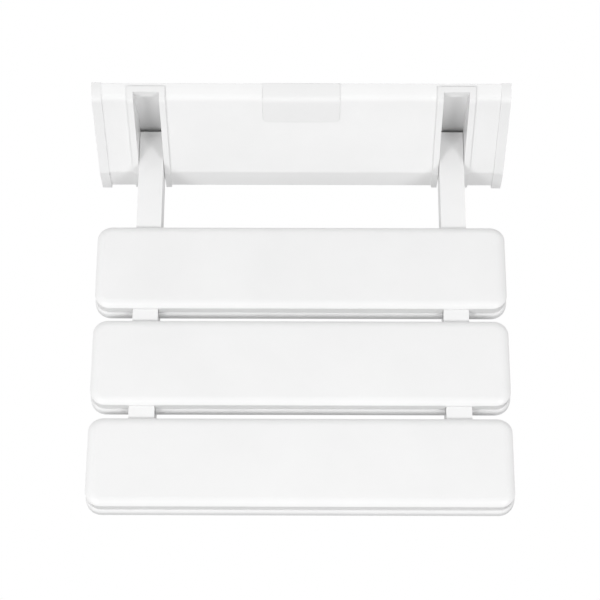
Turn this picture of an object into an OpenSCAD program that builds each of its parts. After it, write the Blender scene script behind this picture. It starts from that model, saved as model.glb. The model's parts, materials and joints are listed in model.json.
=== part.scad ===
// Wall-mounted folding shower seat: three slats on two arms that hinge in a
// wall housing. Millimetres. X is to the right, Y goes into the wall and Z is
// up. The origin is the centre of the screw pattern, on the wall's surface,
// so the seat reaches out along -Y.

/* [Seat] */
// Width of each slat
seat_w = 320; // [300:5:340]
// Depth of each slat, front to back
slat_d = 71; // [64:1:76]
// Gap between two slats
slat_gap = 9.7; // [6:0.1:14]
// Distance from the wall to the first slat
first_slat = 92; // [84:1:100]
// Thickness of a slat, both shells together
slat_t = 22.6; // [21:0.1:26]
// Corner radius of a slat seen from above
slat_corner = 12; // [8:1:16]
// Rounding of the sitting surface's edge
slat_edge = 5.5; // [3:0.5:7]
// Wall thickness of the moulded shells
shell_wall = 2.5; // [2:0.5:3]
// Height of the sitting surface over the origin
seat_z = -15; // [-18:1:-12]

/* [Arms] */
// Distance between the two arms, centre to centre
arm_cc = 240.5; // [230:0.5:246]
// Width of an arm tube
arm_w = 19.5; // [18:0.5:20]
// Height of an arm tube
arm_h = 25; // [20:1:25]
// Wall thickness of an arm tube
arm_wall = 2.5; // [2:0.5:3]

/* [Housing] */
// Overall width over the end caps
unit_w = 325; // [315:1:345]
// Width of each end cap
cap_w = 7.6; // [6:0.2:10]
// Thickness of the extruded front
house_wall = 2; // [1.6:0.2:2.4]
// Thickness of the wall plate
plate_t = 2; // [1.5:0.5:2.5]
// Clear width of the slot that each arm swings in
slot_w = 20.2; // [20.2:0.2:21]
// How far the slot frames stand proud of the housing
frame_proud = 1.8; // [1:0.2:2]
// Width of the blank badge plate
badge_w = 60; // [40:2:80]

/* [Hinge] */
// Diameter of the hinge pins
pin_d = 6; // [5:0.5:6]
// Distance of the hinge axis from the wall
pivot_out = 26.5; // [25.5:0.5:27]
// Height of the hinge axis over the origin
pivot_z = -30.5; // [-32:0.5:-30]
// How far the seat is folded up in this drawing
fold = 0; // [0:0.5:83.5]

/* [Wall fixing] */
// Sideways distance between the screw holes
fix_x = 160; // [100:5:170]
// Upright distance between the screw holes
fix_z = 60; // [50:2:64]
// Diameter of the screw holes
fix_d = 6.6; // [5:0.1:8]

/* [Hidden] */
$fn = 64;

arm_x = arm_cc / 2;
top_h = 11.2;                      // height of a top shell
arm_top = seat_z - 6;              // upper face of the arms
arm_mid = arm_top - arm_h / 2;
arm_bot = arm_top - arm_h;
pitch = slat_d + slat_gap;
slat_y = [for (k = [0:2]) -(first_slat + slat_d / 2 + k * pitch)];
seat_front = -(first_slat + 3 * slat_d + 2 * slat_gap);
tip_end = seat_front + 7;          // end face of the arm plugs
groove = 0.5;                      // shadow line between the two shells
base_hi = seat_z - top_h - groove;
base_lo = seat_z - slat_t;
base_out = 0.8;                    // how far the base shell stands out from the top shell
pivot_y = -pivot_out;
pad_t = 0.8;
heel_y = -(plate_t + pad_t + 0.1); // rear face of the heel
heel_r = pivot_out - plate_t - pad_t - 0.1;
bush_d = 9;
cheek_in = slot_w / 2 + 1.8;       // inner face of a hinge cheek
cheek_t = 3;
liner_t = 1.4;
screw_dy = 20;                     // arm screws either side of a slat's middle
post_x = [-146, -55, 55, 146];
port_a = [-11.4, 41.8];            // screw ports of the extrusion
port_b = [-29.5, -50];
half_house = unit_w / 2 - cap_w;

// Outline of the housing's front in (Y, Z): top edge, upper bend, lower bend
// and bottom edge.
P = [[-5.5, 56], [-14.5, 48], [-34.8, -34], [-34, -57.5]];
cap_low = -61.5;

function unit(v) = v / norm(v);
function out_n(a, b) = let (u = unit(b - a)) [u[1], -u[0]];
function off_pt(i, d) =
  i == 0 ? P[0] + d * out_n(P[0], P[1]) :
  i == 3 ? P[3] + d * out_n(P[2], P[3]) :
  let (m = out_n(P[i - 1], P[i]), n = out_n(P[i], P[i + 1]))
    P[i] + d * (m + n) / (1 + m * n);
function outline(d) = [for (i = [0:3]) off_pt(i, d)];
function rev(l) = [for (i = [len(l) - 1:-1:0]) l[i]];

// ---- helpers -------------------------------------------------------------

// Extrudes a (Y, Z) section along X, from x0 to x1.
module along_x(x0, x1) {
  translate([x0, 0, 0]) rotate([90, 0, 90]) linear_extrude(x1 - x0) children();
}

// Extrudes an (X, Z) shape along Y, from y0 to y1.
module along_y(y0, y1) {
  translate([0, y1, 0]) rotate([90, 0, 0]) linear_extrude(y1 - y0) children();
}

module rrect(w, d, r) {
  square([w - 2 * r, d], center = true);
  square([w, d - 2 * r], center = true);
  for (sx = [-1, 1], sy = [-1, 1])
    translate([sx * (w / 2 - r), sy * (d / 2 - r)]) circle(r);
}

// Rounded plate from z = 0 to h whose upper edge is rolled over with radius e.
module pillow(w, d, h, r, e) {
  linear_extrude(h - e) rrect(w, d, r);
  linear_extrude(h) rrect(w - 2 * e, d - 2 * e, r - e);
  for (sy = [-1, 1])
    translate([0, sy * (d / 2 - e), h - e]) rotate([0, 90, 0])
      cylinder(r = e, h = w - 2 * r, center = true);
  for (sx = [-1, 1])
    translate([sx * (w / 2 - e), 0, h - e]) rotate([90, 0, 0])
      cylinder(r = e, h = d - 2 * r, center = true);
  for (sx = [-1, 1], sy = [-1, 1])
    translate([sx * (w / 2 - r), sy * (d / 2 - r), h - e])
      rotate_extrude() intersection() {
        translate([r - e, 0]) circle(e);
        translate([0, -e]) square([r + 1, 2 * e]);
      }
}

// Same, rolled over at both edges: eb below and et above.
module bun(w, d, h, r, eb, et) {
  translate([0, 0, eb + 0.5]) pillow(w, d, h - eb - 0.5, r, et);
  translate([0, 0, eb + 0.5]) mirror([0, 0, 1]) pillow(w, d, eb + 0.5, r, eb);
}

// Everything that rides on the folding seat is drawn through this.
module folding() {
  translate([0, pivot_y, pivot_z]) rotate([-fold, 0, 0])
    translate([0, -pivot_y, -pivot_z]) children();
}

module pan_screw(d, l, head_d, head_h) {
  // head below z = 0, thread above
  cylinder(d = d, h = l);
  translate([0, 0, -head_h]) cylinder(d = head_d, h = head_h);
}

// ---- wall unit -----------------------------------------------------------

module wall_plate() color("whitesmoke") difference() {
  union() {
    along_x(-half_house + 0.4, half_house - 0.4)
      translate([-plate_t, -55.5]) square([plate_t, 101.5]);
    // bottom flange that carries the housing's lip
    along_x(-half_house + 0.4, half_house - 0.4)
      translate([-31.5, -55.5]) square([31.5, 2]);
    // bent top edge that the housing's rear flange rests against
    along_x(-half_house + 0.4, half_house - 0.4)
      translate([-5.3, 44]) square([5.3, 2]);
  }
  for (sx = [-1, 1], sz = [-1, 1])
    translate([sx * fix_x / 2, -plate_t - 1, sz * fix_z / 2]) rotate([-90, 0, 0])
      cylinder(d = fix_d, h = plate_t + 2);
  for (x = [-80, 0, 80])
    translate([x, -21, -60]) cylinder(d = 4.1, h = 10);
  for (s = [-1, 1]) {
    // the flange is open where the heels swing
    translate([s * arm_x - cheek_in - 0.2, -40, -60])
      cube([2 * cheek_in + 0.4, 40 - plate_t, 8]);
    for (dx = [-21, 21], z = [-22, -44])
      translate([s * arm_x + dx, -plate_t - 1, z]) rotate([-90, 0, 0])
        cylinder(d = 5.1, h = plate_t + 2);
  }
}

module house_section() {
  // front, bottom lip, inside, and the flange that hangs down from the top edge
  polygon([P[0], P[1], P[2], P[3], [-18, P[3][1]], [-18, P[3][1] + house_wall],
    [P[3][0] + house_wall, P[3][1] + house_wall], off_pt(2, -house_wall),
    off_pt(1, -house_wall), [-7.5, 51.6], [-7.5, 43], [-5.5, 43]]);
  for (p = [port_a, port_b]) translate(p) circle(3.4);
}

module housing() color("white") difference() {
  along_x(-half_house, half_house) difference() {
    house_section();
    for (p = [port_a, port_b]) translate(p) circle(1.75);
  }
  for (s = [-1, 1]) translate([s * arm_x, 0, 0])
    along_x(-slot_w / 2 - liner_t - 0.1, slot_w / 2 + liner_t + 0.1)
      polygon([[-8.2, 70], [-60, 70], [-60, -70], [5, -70], [5, 42.6], [-8.2, 42.6]]);
  for (x = [-80, 0, 80])
    translate([x, -21, -60]) cylinder(d = 4.4, h = 6);
}

// Outline of an end cap: it stands proud of the housing in front and below.
function cap_pts(d, low) = [[0, 44], P[0] + [0.2, 0.4], off_pt(1, d), off_pt(2, d),
  [-34 - d, low + 1.2], [-33 - d, low], [0, low]];

module cap_shell() {
  difference() {
    linear_extrude(cap_w) polygon(cap_pts(1, cap_low));
    // pocket that opens towards the housing
    translate([0, 0, -1]) linear_extrude(cap_w - 2.5 + 1) difference() {
      polygon([[-2.4, 42.5], [-6.6, 51.6], off_pt(1, -1.4), off_pt(2, -1.4),
        [-32.6, cap_low + 3], [-31.4, cap_low + 2], [-2.4, cap_low + 2]]);
      for (p = [port_a, port_b]) translate(p) circle(3.4);
    }
    for (p = [port_a, port_b]) translate(p) {
      translate([0, 0, -1]) cylinder(d = 3.9, h = cap_w + 2);
      translate([0, 0, cap_w - 2]) cylinder(d = 7, h = 3);
    }
  }
}

module end_cap_left() color("snow")
  translate([-half_house, 0, 0]) mirror([1, 0, 0]) rotate([90, 0, 90]) cap_shell();
module end_cap_right() color("snow")
  translate([half_house, 0, 0]) rotate([90, 0, 90]) cap_shell();

module end_cap_screws() color("silver")
  for (s = [-1, 1], p = [port_a, port_b])
    translate([s * (unit_w / 2 - 2), p[0], p[1]]) rotate([0, -s * 90, 0])
      difference() {
        pan_screw(3.5, 18, 6.6, 1.6);
        translate([0, 0, -2]) for (a = [0, 90]) rotate([0, 0, a])
          translate([-1.8, -0.4, 0]) cube([3.6, 0.8, 1.3]);
      }

module cover_screws() color("silver")
  for (x = [-80, 0, 80])
    translate([x, -21, -57.5]) difference() {
      pan_screw(4, 8, 7.5, 2);
      translate([0, 0, -3]) for (a = [0, 90]) rotate([0, 0, a])
        translate([-2, -0.5, 0]) cube([4, 1, 2]);
    }

module badge_plate() color("white") intersection() {
  along_x(-badge_w / 2, badge_w / 2) polygon(concat(
    [off_pt(0, 0), off_pt(0, 0.8), off_pt(1, 0.8)],
    [off_pt(2, 0.8), off_pt(2, 0), off_pt(1, 0)]));
  along_y(-40, 10) translate([0, 50]) rrect(badge_w, 54, 4.5);
}

// Frame and lining of one slot in one moulding: a proud frame on the
// housing's face and two side walls that reach back to the wall plate.
module slot_frame(s) color("white") translate([s * arm_x, 0, 0]) difference() {
  union() {
    intersection() {
      along_x(-14.7, 14.7)
        polygon(concat(outline(frame_proud), [[P[3][0], -59]], rev(outline(0))));
      along_y(-60, -8.3) translate([0, 41])
        rrect(29.4, 200, 3);
    }
    along_x(-slot_w / 2 - liner_t, slot_w / 2 + liner_t) polygon(
      [[-plate_t, 39], [-8.3, 42.4], [-8.3, 53.3], off_pt(1, 0.1), off_pt(2, 0.1),
       [-34.1, -57.4], [-plate_t, -57.4]]);
  }
  // the slot itself, open in front and below
  along_x(-slot_w / 2, slot_w / 2) polygon(
    [[0, 36], [-8.9, 41], [-8.9, 50.2], [-11.7, 49.6], [-11.7, 70], [-60, 70], [-60, -70], [0, -70]]);
  // open-ended notches for the bush and the pin
  along_x(-20, 20) {
    translate([pivot_y, pivot_z]) circle(bush_d / 2 + 0.5);
    translate([pivot_y - bush_d / 2 - 0.5, -70]) square([bush_d + 1, 70 + pivot_z]);
  }
}
module slot_frame_left() slot_frame(-1);
module slot_frame_right() slot_frame(1);

// One steel hinge cheek: an upright ear with the pin hole and a foot flange
// riveted to the wall plate. side = 1 puts the foot on the +X side.
module hinge_cheek(x, side) color("gainsboro") translate([x, 0, 0])
  mirror([side < 0 ? 1 : 0, 0, 0]) difference() {
    union() {
      along_x(cheek_in, cheek_in + cheek_t) {
        polygon([[-plate_t, -13], [-14, -13], [-29.5, -24.5], [-31.1, -29],
          [-31.6, -34], [-23, -50], [-plate_t, -50]]);
      }
      along_x(cheek_in + cheek_t, cheek_in + 15)
        translate([-plate_t - cheek_t, -52]) square([cheek_t, 38]);
    }
    translate([0, pivot_y, pivot_z]) rotate([0, 90, 0])
      cylinder(d = pin_d + 0.06, h = 60);
    for (z = [-22, -44]) translate([21, -10, z]) rotate([-90, 0, 0])
      cylinder(d = 5, h = 12);
  }
module hinge_cheek_left_outer() hinge_cheek(-arm_x, -1);
module hinge_cheek_left_inner() hinge_cheek(-arm_x, 1);
module hinge_cheek_right_inner() hinge_cheek(arm_x, -1);
module hinge_cheek_right_outer() hinge_cheek(arm_x, 1);

module cheek_rivets() color("silver")
  for (s = [-1, 1], dx = [-21, 21], z = [-22, -44])
    translate([s * arm_x + dx, 0, z]) rotate([90, 0, 0]) rotate_extrude()
      polygon([[0, 0], [2.5, 0], [2.5, plate_t + cheek_t], [4, plate_t + cheek_t],
        [3.2, plate_t + cheek_t + 1.8], [0, plate_t + cheek_t + 1.8]]);

// Hinge pin with a head outside the outer cheek and a clip groove inside.
pin_a = cheek_in + cheek_t;        // outer faces of the cheeks
module hinge_pin(s) color("silver")
  translate([s * arm_x, pivot_y, pivot_z]) rotate([0, -s * 90, 0])
    rotate_extrude() polygon([
      [0, -pin_a - 2], [4.2, -pin_a - 2], [4.6, -pin_a - 1.6], [4.6, -pin_a],
      [pin_d / 2, -pin_a], [pin_d / 2, pin_a + 0.1], [pin_d / 2 - 1, pin_a + 0.1],
      [pin_d / 2 - 1, pin_a + 1.1], [pin_d / 2, pin_a + 1.1],
      [pin_d / 2, pin_a + 2.2], [pin_d / 2 - 0.6, pin_a + 2.8], [0, pin_a + 2.8]]);
module hinge_pin_left() hinge_pin(-1);
module hinge_pin_right() hinge_pin(1);

module pin_clips() color("dimgray")
  for (s = [-1, 1])
    translate([s * arm_x, pivot_y, pivot_z]) rotate([0, -s * 90, 0])
      translate([0, 0, pin_a + 0.2]) linear_extrude(0.8) difference() {
        circle(pin_d / 2 + 2);
        circle(pin_d / 2 - 0.95);
        translate([-1.4, 0]) square([2.8, 10]);
        for (a = [125, 235]) rotate(a - 90) translate([0, pin_d / 2 + 0.4]) circle(0.6);
      }

module stop_pad(s) color("dimgray")
  translate([s * arm_x - 8.5, -plate_t - pad_t, -48]) cube([17, pad_t, 14]);
module stop_pad_left() stop_pad(-1);
module stop_pad_right() stop_pad(1);

// ---- folding seat --------------------------------------------------------

// Side shape of the arms at the heel: rounded above the hinge so that it can
// swing, square below so that it bears on the stop pad.
module heel_shape(front) intersection() {
  translate([front, arm_bot]) square([heel_y - front, arm_h]);
  difference() {
    translate([front - 1, arm_bot - 1]) square([400, arm_h + 2]);
    difference() {
      translate([pivot_y, pivot_z]) square([60, 60]);
      translate([pivot_y, pivot_z]) circle(heel_r);
    }
    polygon([[heel_y + 0.01, arm_bot + 5], [heel_y + 1, arm_bot + 5],
      [heel_y + 1, arm_bot - 1], [heel_y - 5, arm_bot - 1], [heel_y - 5, arm_bot]]);
  }
}

module arm(s) color("white") folding() translate([s * arm_x, 0, 0]) difference() {
  intersection() {
    along_x(-arm_w / 2, arm_w / 2) heel_shape(tip_end + 1.5);
    translate([-20, tip_end - 1, arm_bot - 1]) cube([40, -tip_end + heel_y - 0.5, 30]);
  }
  translate([-arm_w / 2 + arm_wall, tip_end - 5, arm_bot + arm_wall])
    cube([arm_w - 2 * arm_wall, -tip_end + 10, arm_h - 2 * arm_wall]);
  translate([0, pivot_y, pivot_z]) rotate([0, 90, 0])
    cylinder(d = bush_d, h = 60, center = true);
  for (y = slat_y, dy = [-screw_dy, screw_dy])
    translate([0, y + dy, arm_bot - 1]) cylinder(d = 4.3, h = arm_h + 2);
}
module arm_left() arm(-1);
module arm_right() arm(1);

module arm_bush(s) color("gainsboro") folding()
  translate([s * arm_x, pivot_y, pivot_z]) rotate([0, 90, 0]) difference() {
    cylinder(d = bush_d, h = 2 * cheek_in - 0.2, center = true);
    cylinder(d = pin_d + 0.1, h = 60, center = true);
  }
module arm_bush_left() arm_bush(-1);
module arm_bush_right() arm_bush(1);

module heel_plug(s) color("white") folding() translate([s * arm_x, 0, 0]) {
  difference() {
    along_x(-arm_w / 2, arm_w / 2) heel_shape(-60);
    translate([-20, -100, -60]) cube([40, 100 + heel_y - 1.5, 60]);
  }
  translate([-arm_w / 2 + arm_wall + 0.1, heel_y - 14, arm_bot + arm_wall + 0.1])
    cube([arm_w - 2 * arm_wall - 0.2, 12.6, arm_h - 2 * arm_wall - 0.2]);
}
module heel_plug_left() heel_plug(-1);
module heel_plug_right() heel_plug(1);

module tip_plug(s) color("white") folding() translate([s * arm_x, 0, 0]) {
  translate([-arm_w / 2, tip_end, arm_bot]) cube([arm_w, 1.5, arm_h]);
  translate([-arm_w / 2 + arm_wall + 0.1, tip_end + 1, arm_bot + arm_wall + 0.1])
    cube([arm_w - 2 * arm_wall - 0.2, 4.5, arm_h - 2 * arm_wall - 0.2]);
}
module tip_plug_left() tip_plug(-1);
module tip_plug_right() tip_plug(1);

// Upper moulding of a slat: rolled edge, notches where the arms pass through
// its walls, screw posts and bosses inside. The last slat's front is closed.
module slat_top(k) color("white") folding() translate([0, slat_y[k], 0]) {
  ceil_z = seat_z - shell_wall;
  front = k == 2 ? tip_end - 0.2 - slat_y[2] : -slat_d;
  difference() {
    union() {
      difference() {
        translate([0, 0, seat_z - top_h])
          pillow(seat_w, slat_d, top_h, slat_corner, slat_edge);
        translate([0, 0, seat_z - top_h - 1])
          pillow(seat_w - 2 * shell_wall, slat_d - 2 * shell_wall,
            top_h - shell_wall + 1, slat_corner - shell_wall, slat_edge - shell_wall);
        for (s = [-1, 1])
          translate([s * arm_x - arm_w / 2 - 0.2, front, arm_top - 60])
            cube([arm_w + 0.4, slat_d - front, 60.1]);
      }
      for (x = post_x) translate([x, 0, base_lo + shell_wall])
        cylinder(d = 8, h = ceil_z + 0.5 - base_lo - shell_wall);
      for (s = [-1, 1], dy = [-screw_dy, screw_dy])
        translate([s * arm_x, dy, arm_top + 1.5])
          cylinder(d = 9, h = ceil_z + 0.5 - arm_top - 1.5);
      for (dy = [-12, 12]) translate([-104, dy - 0.8, ceil_z - 4.5])
        cube([208, 1.6, 5]);
    }
    for (x = post_x) translate([x, 0, base_lo]) cylinder(d = 3.5, h = 16);
    for (s = [-1, 1], dy = [-screw_dy, screw_dy])
      translate([s * arm_x, dy, arm_top - 1]) cylinder(d = 4, h = 5);
  }
}
module slat_1_top() slat_top(0);
module slat_2_top() slat_top(1);
module slat_3_top() slat_top(2);

// Lower moulding of a slat: a tray with a spigot rim that locates it in the
// top shell, and a channel over each arm. The last slat's front wall is closed.
module slat_base(k) color("white") folding() translate([0, slat_y[k], 0]) {
  bw = seat_w + 2 * base_out;
  bd = slat_d + 2 * base_out;
  br = slat_corner + base_out;
  bh = base_hi - base_lo;
  in_w = seat_w - 2 * shell_wall - 0.4;
  in_d = slat_d - 2 * shell_wall - 0.4;
  in_r = slat_corner - shell_wall - 0.2;
  floor_z = base_lo + shell_wall;
  difference() {
    union() {
      difference() {
        union() {
          translate([0, 0, base_lo]) bun(bw, bd, bh, br, 2.5, 3);
          translate([0, 0, floor_z]) linear_extrude(arm_top + 1.5 - floor_z)
            rrect(in_w, in_d, in_r);
        }
        translate([0, 0, floor_z]) linear_extrude(30)
          rrect(in_w - 3, in_d - 3, in_r - 1.5);
      }
      for (s = [-1, 1]) translate([s * arm_x, 0, 0])
        translate([-arm_w / 2 - 2.2, -in_d / 2 + 0.5, floor_z - 0.5])
          cube([arm_w + 4.4, in_d - 1, arm_top + 1.5 - floor_z + 0.5]);
      for (x = post_x) translate([x, 0, floor_z - 0.5]) cylinder(d = 12, h = 2.5);
    }
    for (s = [-1, 1]) translate([s * arm_x, 0, 0]) {
      front = k == 2 ? tip_end - 0.2 - slat_y[2] : -slat_d;
      translate([-arm_w / 2 - 0.2, front, arm_top - 60])
        cube([arm_w + 0.4, slat_d - front, 60]);
      for (dy = [-screw_dy, screw_dy])
        translate([0, dy, arm_top - 1]) cylinder(d = 4.3, h = 5);
    }
    for (x = post_x) {
      translate([x, 0, floor_z]) cylinder(d = 8.2, h = 20);
      translate([x, 0, base_lo - 1]) cylinder(d = 3.7, h = 10);
      translate([x, 0, base_lo - 0.01]) cylinder(d1 = 7.2, d2 = 3.7, h = 1.8);
    }
  }
}
module slat_1_base() slat_base(0);
module slat_2_base() slat_base(1);
module slat_3_base() slat_base(2);

module arm_screws() color("silver") folding()
  for (s = [-1, 1], y = slat_y, dy = [-screw_dy, screw_dy])
    translate([s * arm_x, y + dy, arm_bot]) difference() {
      pan_screw(4, arm_h + 4, 8, 2.4);
      translate([0, 0, -4]) for (a = [0, 90]) rotate([0, 0, a])
        translate([-2.1, -0.5, 0]) cube([4.2, 1, 3]);
    }

module shell_screws() color("silver") folding()
  for (y = slat_y, x = post_x)
    translate([x, y, base_lo]) difference() {
      union() {
        cylinder(d1 = 6.8, d2 = 3.5, h = 1.7);
        cylinder(d = 3.5, h = 13);
      }
      translate([0, 0, -1]) for (a = [0, 90]) rotate([0, 0, a])
        translate([-1.8, -0.4, 0]) cube([3.6, 0.8, 1.9]);
    }

wall_plate();
housing();
end_cap_left();
end_cap_right();
end_cap_screws();
cover_screws();
badge_plate();
slot_frame_left();
slot_frame_right();
hinge_cheek_left_outer();
hinge_cheek_left_inner();
hinge_cheek_right_inner();
hinge_cheek_right_outer();
cheek_rivets();
hinge_pin_left();
hinge_pin_right();
pin_clips();
stop_pad_left();
stop_pad_right();
arm_left();
arm_right();
arm_bush_left();
arm_bush_right();
heel_plug_left();
heel_plug_right();
tip_plug_left();
tip_plug_right();
slat_1_top();
slat_2_top();
slat_3_top();
slat_1_base();
slat_2_base();
slat_3_base();
arm_screws();
shell_screws();
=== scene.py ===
import json
import math
import bpy
import bmesh
from mathutils import Matrix, Vector

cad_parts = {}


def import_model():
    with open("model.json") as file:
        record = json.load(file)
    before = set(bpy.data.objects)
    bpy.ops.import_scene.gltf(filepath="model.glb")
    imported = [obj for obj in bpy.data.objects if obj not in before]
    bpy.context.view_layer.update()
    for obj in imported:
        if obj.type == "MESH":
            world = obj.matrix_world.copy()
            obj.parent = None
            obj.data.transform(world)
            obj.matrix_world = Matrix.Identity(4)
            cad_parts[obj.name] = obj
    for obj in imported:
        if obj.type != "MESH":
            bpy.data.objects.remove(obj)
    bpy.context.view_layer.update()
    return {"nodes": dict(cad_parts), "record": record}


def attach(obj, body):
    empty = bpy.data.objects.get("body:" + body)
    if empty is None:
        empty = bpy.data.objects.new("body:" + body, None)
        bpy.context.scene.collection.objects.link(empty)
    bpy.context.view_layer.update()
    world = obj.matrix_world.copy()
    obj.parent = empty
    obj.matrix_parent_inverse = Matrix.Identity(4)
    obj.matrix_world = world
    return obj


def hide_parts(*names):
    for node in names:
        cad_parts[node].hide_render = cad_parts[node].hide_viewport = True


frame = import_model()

scene = bpy.context.scene
NODES = frame["nodes"]

# ---- camera ---------------------------------------------------------------
CAM = Vector((0.0064557, -0.8212258, 1.4092139))
PITCH, YAW, ROLL, F_PX = 1.1345, -0.0106, -0.0072, 2034.64


def camera():
    ce, se, cy, sy = math.cos(PITCH), math.sin(PITCH), math.cos(YAW), math.sin(YAW)
    f = Vector((sy * ce, cy * ce, -se))
    r = Vector((cy, -sy, 0.0))
    u = r.cross(f)
    cr, sr = math.cos(ROLL), math.sin(ROLL)
    r2, u2 = cr * r + sr * u, -sr * r + cr * u
    cam = bpy.data.objects.new("camera", bpy.data.cameras.new("camera"))
    cam.matrix_world = Matrix((
        (r2.x, u2.x, -f.x, CAM.x), (r2.y, u2.y, -f.y, CAM.y),
        (r2.z, u2.z, -f.z, CAM.z), (0, 0, 0, 1)))
    cam.data.sensor_width = 36.0
    cam.data.lens = F_PX * 36.0 / 600.0
    cam.data.clip_start, cam.data.clip_end = 0.05, 20
    scene.collection.objects.link(cam)
    scene.camera = cam


camera()
scene.view_settings.view_transform = "Standard"


# ---- light ------------------------------------------------------------------
def world():
    w = bpy.data.worlds.new("studio")
    w.use_nodes = True
    nt = w.node_tree
    nt.nodes.clear()
    tc = nt.nodes.new("ShaderNodeTexCoord")
    sep = nt.nodes.new("ShaderNodeSeparateXYZ")
    nt.links.new(tc.outputs["Generated"], sep.inputs[0])
    ramp = nt.nodes.new("ShaderNodeValToRGB")
    e = ramp.color_ramp.elements
    e[0].position, e[0].color = 0.0, (0.50, 0.50, 0.50, 1)
    e[1].position, e[1].color = 1.0, (0.69, 0.69, 0.69, 1)
    for pos, v in ((0.42, 0.45), (0.55, 0.55), (0.75, 0.67)):
        k = e.new(pos)
        k.color = (v, v, v, 1)
    half = nt.nodes.new("ShaderNodeMath")
    half.operation = "MULTIPLY_ADD"
    half.inputs[1].default_value = 0.5
    half.inputs[2].default_value = 0.5
    nt.links.new(sep.outputs["Z"], half.inputs[0])
    nt.links.new(half.outputs[0], ramp.inputs[0])
    lit = nt.nodes.new("ShaderNodeBackground")
    # a little more from both sides and from behind than from the front
    def op(kind, a, b):
        n = nt.nodes.new("ShaderNodeMath")
        n.operation = kind
        for k, v in enumerate((a, b)):
            if isinstance(v, float):
                n.inputs[k].default_value = v
            else:
                nt.links.new(v, n.inputs[k])
        return n.outputs[0]
    sides = op("MULTIPLY", op("SUBTRACT", op("MULTIPLY", sep.outputs["X"], 0.30), 0.11), sep.outputs["X"])
    rear = op("MULTIPLY", op("MAXIMUM", sep.outputs["Y"], 0.0), 0.24)
    total = op("ADD", op("ADD", ramp.outputs[0], sides), rear)
    nt.links.new(op("MULTIPLY", total, 1.13), lit.inputs[1])
    seen = nt.nodes.new("ShaderNodeBackground")
    seen.inputs[0].default_value = (1, 1, 1, 1)
    lp = nt.nodes.new("ShaderNodeLightPath")
    mix = nt.nodes.new("ShaderNodeMixShader")
    nt.links.new(lp.outputs["Is Camera Ray"], mix.inputs[0])
    nt.links.new(lit.outputs[0], mix.inputs[1])
    nt.links.new(seen.outputs[0], mix.inputs[2])
    out = nt.nodes.new("ShaderNodeOutputWorld")
    nt.links.new(mix.outputs[0], out.inputs[0])
    scene.world = w


def area(name, loc, target, size, power):
    l = bpy.data.lights.new(name, "AREA")
    l.shape, l.size, l.energy = "SQUARE", size, power
    o = bpy.data.objects.new(name, l)
    o.location = loc
    o.rotation_euler = (Vector(target) - Vector(loc)).to_track_quat("-Z", "Y").to_euler()
    scene.collection.objects.link(o)


world()
area("key_left", (-1.25, -1.65, 1.75), (0, -0.1, 0), 0.75, 20.5)
area("key_right", (1.25, -1.65, 1.75), (0, -0.1, 0), 0.75, 19.5)


def floor():
    me = bpy.data.meshes.new("floor")
    me.from_pydata([(-6, -6, -0.6), (6, -6, -0.6), (6, 6, -0.6), (-6, 6, -0.6)], [], [(0, 1, 2, 3)])
    o = bpy.data.objects.new("floor", me)
    m = bpy.data.materials.new("floor_white")
    m.use_nodes = True
    nt = m.node_tree
    nt.nodes.clear()
    em = nt.nodes.new("ShaderNodeEmission")
    em.inputs[0].default_value = (1, 1, 1, 1)
    tr = nt.nodes.new("ShaderNodeBsdfTransparent")
    geo = nt.nodes.new("ShaderNodeNewGeometry")
    mix = nt.nodes.new("ShaderNodeMixShader")
    out = nt.nodes.new("ShaderNodeOutputMaterial")
    nt.links.new(geo.outputs["Backfacing"], mix.inputs[0])
    nt.links.new(em.outputs[0], mix.inputs[1])
    nt.links.new(tr.outputs[0], mix.inputs[2])
    nt.links.new(mix.outputs[0], out.inputs[0])
    me.materials.append(m)
    scene.collection.objects.link(o)
    o.visible_diffuse = o.visible_glossy = o.visible_shadow = False


floor()


# ---- materials --------------------------------------------------------------
def noise(nt, scale, detail=2.0, rough=0.5, stretch=None):
    tc = nt.nodes.new("ShaderNodeTexCoord")
    src = tc.outputs["Object"]
    if stretch:
        mp = nt.nodes.new("ShaderNodeMapping")
        mp.inputs["Scale"].default_value = stretch
        nt.links.new(src, mp.inputs[0])
        src = mp.outputs[0]
    n = nt.nodes.new("ShaderNodeTexNoise")
    n.inputs["Scale"].default_value = scale
    n.inputs["Detail"].default_value = detail
    n.inputs["Roughness"].default_value = rough
    nt.links.new(src, n.inputs["Vector"])
    return n


def spread(nt, value, lo, hi):
    m = nt.nodes.new("ShaderNodeMapRange")
    m.inputs["From Min"].default_value = 0.3
    m.inputs["From Max"].default_value = 0.7
    m.inputs["To Min"].default_value = lo
    m.inputs["To Max"].default_value = hi
    nt.links.new(value, m.inputs[0])
    return m.outputs[0]


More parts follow.
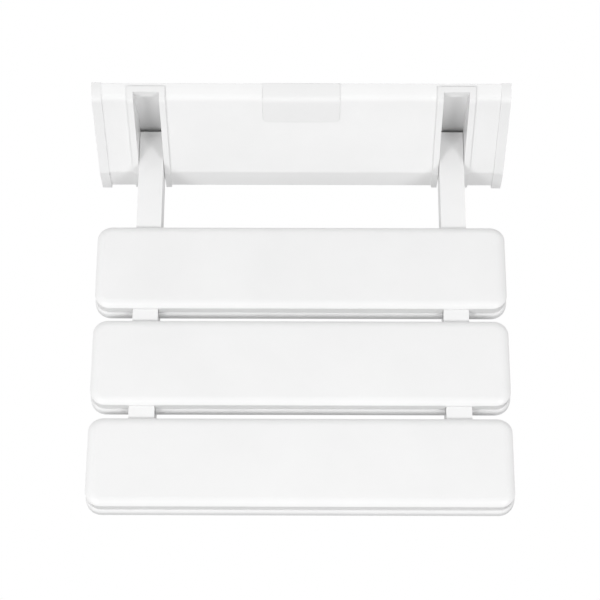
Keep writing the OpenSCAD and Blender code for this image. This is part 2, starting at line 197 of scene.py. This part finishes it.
def finish(name, lo, hi, rough, metallic=0.0, grain=900.0, grain_mm=0.02, wave=0.0, wave_mm=0.0,
           patch=18.0, stretch=None, coat=0.0, spec=0.5, flow=None, painted_light_by_height=None, painted_light_front_only=False):
    """A finish from noise at three sizes: patches of colour, waviness of the surface, and its grain."""
    m = bpy.data.materials.new(name)
    m.use_nodes = True
    nt = m.node_tree
    b = nt.nodes["Principled BSDF"]
    b.inputs["Metallic"].default_value = metallic
    b.inputs["Specular IOR Level"].default_value = spec
    if coat:
        b.inputs["Coat Weight"].default_value = coat
        b.inputs["Coat Roughness"].default_value = 0.12
    # colour
    n1 = noise(nt, patch, 3.0, 0.55, flow)
    ramp = nt.nodes.new("ShaderNodeValToRGB")
    ramp.color_ramp.elements[0].position = 0.3
    ramp.color_ramp.elements[0].color = (*lo, 1)
    ramp.color_ramp.elements[1].position = 0.7
    ramp.color_ramp.elements[1].color = (*hi, 1)
    nt.links.new(n1.outputs["Fac"], ramp.inputs[0])
    if painted_light_by_height:
        # painted light and shade along the height, as (z, factor) from the lowest up: the factor scales the colour
        # lighter or darker where light falls
        tc = nt.nodes.new("ShaderNodeTexCoord")
        sep = nt.nodes.new("ShaderNodeSeparateXYZ")
        mr = nt.nodes.new("ShaderNodeMapRange")
        mr.inputs["From Min"].default_value, mr.inputs["From Max"].default_value = painted_light_by_height[0][0], painted_light_by_height[-1][0]
        painted_light_ramp = nt.nodes.new("ShaderNodeValToRGB")
        for k, (z, v) in enumerate(painted_light_by_height):
            pos = (z - painted_light_by_height[0][0]) / (painted_light_by_height[-1][0] - painted_light_by_height[0][0])
            el = painted_light_ramp.color_ramp.elements[0] if k == 0 else (
                painted_light_ramp.color_ramp.elements[len(painted_light_ramp.color_ramp.elements) - 1] if k == len(painted_light_by_height) - 1 else painted_light_ramp.color_ramp.elements.new(pos))
            el.position, el.color = pos, (v / 1.25, v / 1.25, v / 1.25, 1)
        gain = nt.nodes.new("ShaderNodeMath")
        gain.operation = "MULTIPLY"
        gain.inputs[1].default_value = 1.25
        mul = nt.nodes.new("ShaderNodeVectorMath")
        mul.operation = "SCALE"
        nt.links.new(tc.outputs["Object"], sep.inputs[0])
        nt.links.new(sep.outputs["Z"], mr.inputs["Value"])
        nt.links.new(ramp.outputs[0], mul.inputs[0])
        nt.links.new(mr.outputs[0], painted_light_ramp.inputs[0])
        nt.links.new(painted_light_ramp.outputs[0], gain.inputs[0])
        factor = gain.outputs[0]
        if painted_light_front_only:
            # painted light and shade only on faces that look to the front
            sn = nt.nodes.new("ShaderNodeSeparateXYZ")
            nt.links.new(tc.outputs["Normal"], sn.inputs[0])
            front = nt.nodes.new("ShaderNodeMath")
            front.operation = "LESS_THAN"
            front.inputs[1].default_value = -0.5
            nt.links.new(sn.outputs["Y"], front.inputs[0])
            less = nt.nodes.new("ShaderNodeMath")
            less.operation = "SUBTRACT"
            less.inputs[1].default_value = 1.0
            nt.links.new(factor, less.inputs[0])
            back = nt.nodes.new("ShaderNodeMath")
            back.operation = "MULTIPLY_ADD"
            back.inputs[2].default_value = 1.0
            nt.links.new(less.outputs[0], back.inputs[0])
            nt.links.new(front.outputs[0], back.inputs[1])
            factor = back.outputs[0]
        nt.links.new(factor, mul.inputs["Scale"])
        nt.links.new(mul.outputs[0], b.inputs["Base Color"])
    else:
        nt.links.new(ramp.outputs[0], b.inputs["Base Color"])
    # roughness
    n2 = noise(nt, patch * 6, 2.0, 0.6, stretch)
    nt.links.new(spread(nt, n2.outputs["Fac"], rough[0], rough[1]), b.inputs["Roughness"])
    # grain and waviness
    n3 = noise(nt, grain, 2.0, 0.6, stretch)
    bump = nt.nodes.new("ShaderNodeBump")
    bump.inputs["Strength"].default_value = 1.0
    bump.inputs["Distance"].default_value = grain_mm * 1e-3
    nt.links.new(n3.outputs["Fac"], bump.inputs["Height"])
    last = bump
    if wave:
        n4 = noise(nt, wave, 1.0, 0.4)
        b2 = nt.nodes.new("ShaderNodeBump")
        b2.inputs["Strength"].default_value = 1.0
        b2.inputs["Distance"].default_value = wave_mm * 1e-3
        nt.links.new(n4.outputs["Fac"], b2.inputs["Height"])
        nt.links.new(bump.outputs[0], b2.inputs["Normal"])
        last = b2
    nt.links.new(last.outputs[0], b.inputs["Normal"])
    return m


def g(v, warm=0.0):
    return (v, v, v * (1 - warm))


MAT = {
    "slat_plastic": finish("slat_plastic", g(0.80), g(0.825), (0.34, 0.46), grain=1500, grain_mm=0.012, wave=45, wave_mm=0.03),
    "slat_base_plastic": finish("slat_base_plastic", g(0.785), g(0.81), (0.40, 0.52), grain=1300, grain_mm=0.016, wave=40, wave_mm=0.02),
    # painted light: cap, frame, badge and housing colours are lighter low on the face, carry a painted highlight
    # band along the bend near z 0.046 m and painted shade towards the top edge
    "cap_plastic": finish("cap_plastic", g(0.81), g(0.83), (0.38, 0.5), painted_light_by_height=((-0.034, 1.09), (0.0435, 1.0), (0.0462, 1.07), (0.0482, 1.05), (0.0505, 0.94), (0.055, 0.885)), grain=1600, grain_mm=0.014, wave=60, wave_mm=0.02),
    "frame_plastic": finish("frame_plastic", g(0.80), g(0.825), (0.28, 0.38), painted_light_by_height=((-0.034, 1.10), (0.0435, 1.01), (0.0462, 1.05), (0.0482, 1.035), (0.0505, 0.96), (0.055, 0.92)), grain=1800, grain_mm=0.008, wave=60, wave_mm=0.02),
    "badge_plastic": finish("badge_plastic", g(0.80), g(0.815), (0.42, 0.5), painted_light_by_height=((0.020, 1.01), (0.0435, 1.01), (0.0462, 1.07), (0.0482, 1.05), (0.0505, 0.945), (0.057, 0.91)), grain=1800, grain_mm=0.008),
    "plug_plastic": finish("plug_plastic", g(0.72), g(0.76), (0.4, 0.5), grain=1500, grain_mm=0.015),
    "nylon": finish("nylon", (0.62, 0.60, 0.55), (0.68, 0.66, 0.61), (0.42, 0.55), grain=1200, grain_mm=0.012),
    "coated_aluminium": finish("coated_aluminium", g(0.83), g(0.85), (0.30, 0.40), painted_light_by_height=((-0.034, 1.10), (0.0435, 1.015), (0.0462, 1.05), (0.0482, 1.045), (0.0505, 0.975), (0.055, 0.945)), grain=650, grain_mm=0.012, wave=160, wave_mm=0.018, coat=0.15),
    # painted shade: the wall plate's front faces darken towards the bottom of the slots and lighten near the top
    "coated_steel": finish("coated_steel", g(0.82), g(0.84), (0.38, 0.5), painted_light_by_height=((-0.035, 0.70), (-0.018, 0.78), (0.012, 0.98), (0.036, 1.10)), painted_light_front_only=True, grain=600, grain_mm=0.02, wave=140, wave_mm=0.03),
    "coated_arm": finish("coated_arm", g(0.83), g(0.85), (0.28, 0.38), grain=650, grain_mm=0.012, wave=150, wave_mm=0.02, coat=0.2),
    "zinc_steel": finish("zinc_steel", (0.50, 0.51, 0.53), (0.68, 0.69, 0.70), (0.28, 0.46), metallic=1.0, grain=500, grain_mm=0.02, patch=160),
    "stainless": finish("stainless", (0.55, 0.55, 0.55), (0.66, 0.66, 0.65), (0.2, 0.34), metallic=1.0, grain=900, grain_mm=0.012, patch=300, stretch=(6, 1, 1)),
    "spring_steel": finish("spring_steel", (0.10, 0.10, 0.11), (0.18, 0.18, 0.19), (0.3, 0.45), metallic=1.0, grain=900, grain_mm=0.012, patch=300),
    "pad_rubber": finish("pad_rubber", (0.035, 0.035, 0.037), (0.055, 0.055, 0.056), (0.6, 0.8), grain=900, grain_mm=0.06),
}


def slot_for(n):
    for key, val in (("arm_bush", "nylon"), ("arm_screws", "stainless"), ("cover_screws", "stainless"),
                     ("end_cap_screws", "stainless"), ("shell_screws", "stainless"), ("cheek_rivets", "stainless"),
                     ("hinge_pin", "stainless"), ("pin_clips", "spring_steel"), ("hinge_cheek", "zinc_steel"),
                     ("stop_pad", "pad_rubber"), ("heel_plug", "plug_plastic"), ("tip_plug", "plug_plastic"),
                     ("end_cap", "cap_plastic"), ("slot_frame", "frame_plastic"), ("badge", "badge_plastic"),
                     ("wall_plate", "coated_steel"), ("housing", "coated_aluminium"), ("arm_", "coated_arm")):
        if n.startswith(key):
            return val
    return "slat_plastic" if n.endswith("_top") else "slat_base_plastic"


for n, o in NODES.items():
    for i in range(len(o.material_slots)):
        o.material_slots[i].material = MAT[slot_for(n)]


# ---- soft-edged versions of the visible mouldings ---------------------------
BODY = {}
for b, ns in frame["record"]["behaviour"]["bodies"].items():
    for n in ns:
        BODY[n] = b


def clean(n):
    bm = bmesh.new()
    bm.from_mesh(NODES[n].data)
    bmesh.ops.remove_doubles(bm, verts=bm.verts, dist=2e-6)
    bmesh.ops.dissolve_degenerate(bm, edges=bm.edges, dist=1e-6)
    bmesh.ops.dissolve_limit(bm, angle_limit=math.radians(0.4), verts=bm.verts, edges=bm.edges)
    bm.normal_update()
    return bm


def sharp(bm, deg):
    return [e for e in bm.edges if len(e.link_faces) == 2 and e.calc_face_angle(0) > math.radians(deg)]


def bevel(bm, edges, width, seg):
    if edges:
        bmesh.ops.bevel(bm, geom=list(edges), offset=width, offset_type="OFFSET", segments=seg,
                        profile=0.5, affect="EDGES", clamp_overlap=True)
        bm.normal_update()


def near_line(e, y, z, tol=0.0003):
    """An edge along X whose (y, z) lies on that point."""
    a, b = (v.co for v in e.verts)
    return (abs(a.y - b.y) < 1e-5 and abs(a.z - b.z) < 1e-5 and abs(a.x - b.x) > 1e-4
            and abs(a.y - y) < tol and abs(a.z - z) < tol)


TOP_Z, TOP_LOW, ROUND, CORNER, HALF_W, HALF_D = -0.015, -0.0262, 0.0055, 0.012, 0.160, 0.0355


def inset(x, y, grow=0.0):
    """Distance in plan from a slat's outline, and the direction pointing out of it."""
    rc = CORNER + grow
    ax, ay = abs(x) - (HALF_W - CORNER), abs(y) - (HALF_D - CORNER)
    sx, sy = math.copysign(1, x), math.copysign(1, y)
    if ax > 0 and ay > 0:
        r = math.hypot(ax, ay)
        return rc - r, (sx * ax / r, sy * ay / r)
    if ax > ay:
        return rc - ax, (sx, 0.0)
    return rc - ay, (0.0, sy)


def crown(bm, cy, run=0.007, drop=0.0032, lean=0.0011, side=0.00045, back=0.0011, skirt=0.0021):
    """Turns a slat's quarter-round edge into a wide shallow crown over a wall that leans in."""
    half = math.atan2(drop, run)
    arc = 2 * half
    rad = run / math.sin(arc)
    crease = TOP_Z - drop
    for v in bm.verts:
        x, y, z = v.co.x, v.co.y - cy, v.co.z
        d, (nx, ny) = inset(x, y)
        pull = side * nx * nx + back * max(0.0, ny) ** 2
        on_round = z > TOP_Z - ROUND - 1e-5 and abs(math.hypot(ROUND - d, z - (TOP_Z - ROUND)) - ROUND) < 6e-5 and d < ROUND + 5e-5
        if on_round:
            t = math.atan2(z - (TOP_Z - ROUND), ROUND - d) / (math.pi / 2)
            phi = arc * (1 - min(max(t, 0.0), 1.0))
            nd, nz = pull + run - rad * math.sin(phi), TOP_Z - rad * (1 - math.cos(phi))
        elif abs(d) < 5e-5 and z > TOP_LOW - 1e-4:
            tilt = lean * (max(0.0, -ny) ** 2 + 0.5 * nx * nx)
            nd, nz = pull + tilt * (crease - z) / (crease - TOP_LOW), z
        else:
            nd, nz = d, z
        if abs(z - TOP_LOW) < 1e-4:
            nz -= skirt
        v.co.x += (d - nd) * nx
        v.co.y += (d - nd) * ny
        v.co.z = nz
    bm.normal_update()


def shoulder(bm, cy, out=0.0008, side=0.0005, back=0.001, skirt=0.0021):
    """Sets a lower moulding's shoulder under the longer skirt of the upper one."""
    for v in bm.verts:
        x, y, z = v.co.x, v.co.y - cy, v.co.z
        d, (nx, ny) = inset(x, y, out)
        if d < 0.0031:
            pull = side * nx * nx + back * max(0.0, ny) ** 2
            v.co.x -= pull * nx
            v.co.y -= pull * ny
            if TOP_LOW - 0.0005 - 0.00305 < z < TOP_LOW - 0.0004:
                v.co.z -= skirt
    bm.normal_update()


def soft(n, bends=(), width=0.0004, seg=2, deg=35, only=None, shape=None):
    """Copies a CAD node, rounds its bends and softens its other sharp edges."""
    bm = clean(n)
    if shape:
        shape(bm)
    for (y, z, w, s) in bends:
        bevel(bm, [e for e in bm.edges if near_line(e, y, z)], w, s)
    es = sharp(bm, deg)
    if only:
        es = [e for e in es if only(e)]
    bevel(bm, es, width, seg)
    for f in bm.faces:
        f.smooth = True
    me = bpy.data.meshes.new(n + "_soft")
    bm.to_mesh(me)
    bm.free()
    o = bpy.data.objects.new(n + "_soft", me)
    me.materials.append(MAT[slot_for(n)])
    scene.collection.objects.link(o)
    wn = o.modifiers.new("normals", "WEIGHTED_NORMAL")
    wn.weight = 60
    wn.keep_sharp = True
    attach(o, BODY[n])
    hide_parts(n)
    return o


P = [(-5.5, 56.0), (-14.5, 48.0), (-34.8, -34.0), (-34.0, -57.5)]


def out_n(a, b):
    dx, dy = b[0] - a[0], b[1] - a[1]
    l = math.hypot(dx, dy)
    return (dy / l, -dx / l)


def off(i, d):
    if i == 0:
        n = out_n(P[0], P[1])
        p = (P[0][0] + d * n[0], P[0][1] + d * n[1])
    elif i == 3:
        n = out_n(P[2], P[3])
        p = (P[3][0] + d * n[0], P[3][1] + d * n[1])
    else:
        m, n = out_n(P[i - 1], P[i]), out_n(P[i], P[i + 1])
        k = d / (1 + m[0] * n[0] + m[1] * n[1])
        p = (P[i][0] + k * (m[0] + n[0]), P[i][1] + k * (m[1] + n[1]))
    return (p[0] / 1000, p[1] / 1000)


soft("housing", [(*off(1, 0), 0.0026, 6), (*off(2, 0), 0.0012, 4), (*off(0, 0), 0.0008, 3), (*off(3, 0), 0.0008, 3)], 0.00022)
for side in ("left", "right"):
    soft("end_cap_" + side, [(*off(1, 1), 0.003, 6), (*off(2, 1), 0.0014, 4)], 0.0005, 3)
    soft("slot_frame_" + side, [(*off(1, 1.8), 0.003, 6), (*off(2, 1.8), 0.0014, 4)], 0.0004, 3)
    soft("arm_" + side, (), 0.0009, 3, only=lambda e: True)
    soft("tip_plug_" + side, (), 0.0003, 2)
soft("badge_plate", [(*off(1, 0.8), 0.0028, 6)], 0.00025, 2)
for k in "123":
    mid = -(0.092 + 0.0355 + (int(k) - 1) * 0.0807)
    soft("slat_%s_top" % k, (), 0.0003, 2, shape=lambda bm, cy=mid: crown(bm, cy))
    soft("slat_%s_base" % k, (), 0.0003, 2, shape=lambda bm, cy=mid: shoulder(bm, cy))
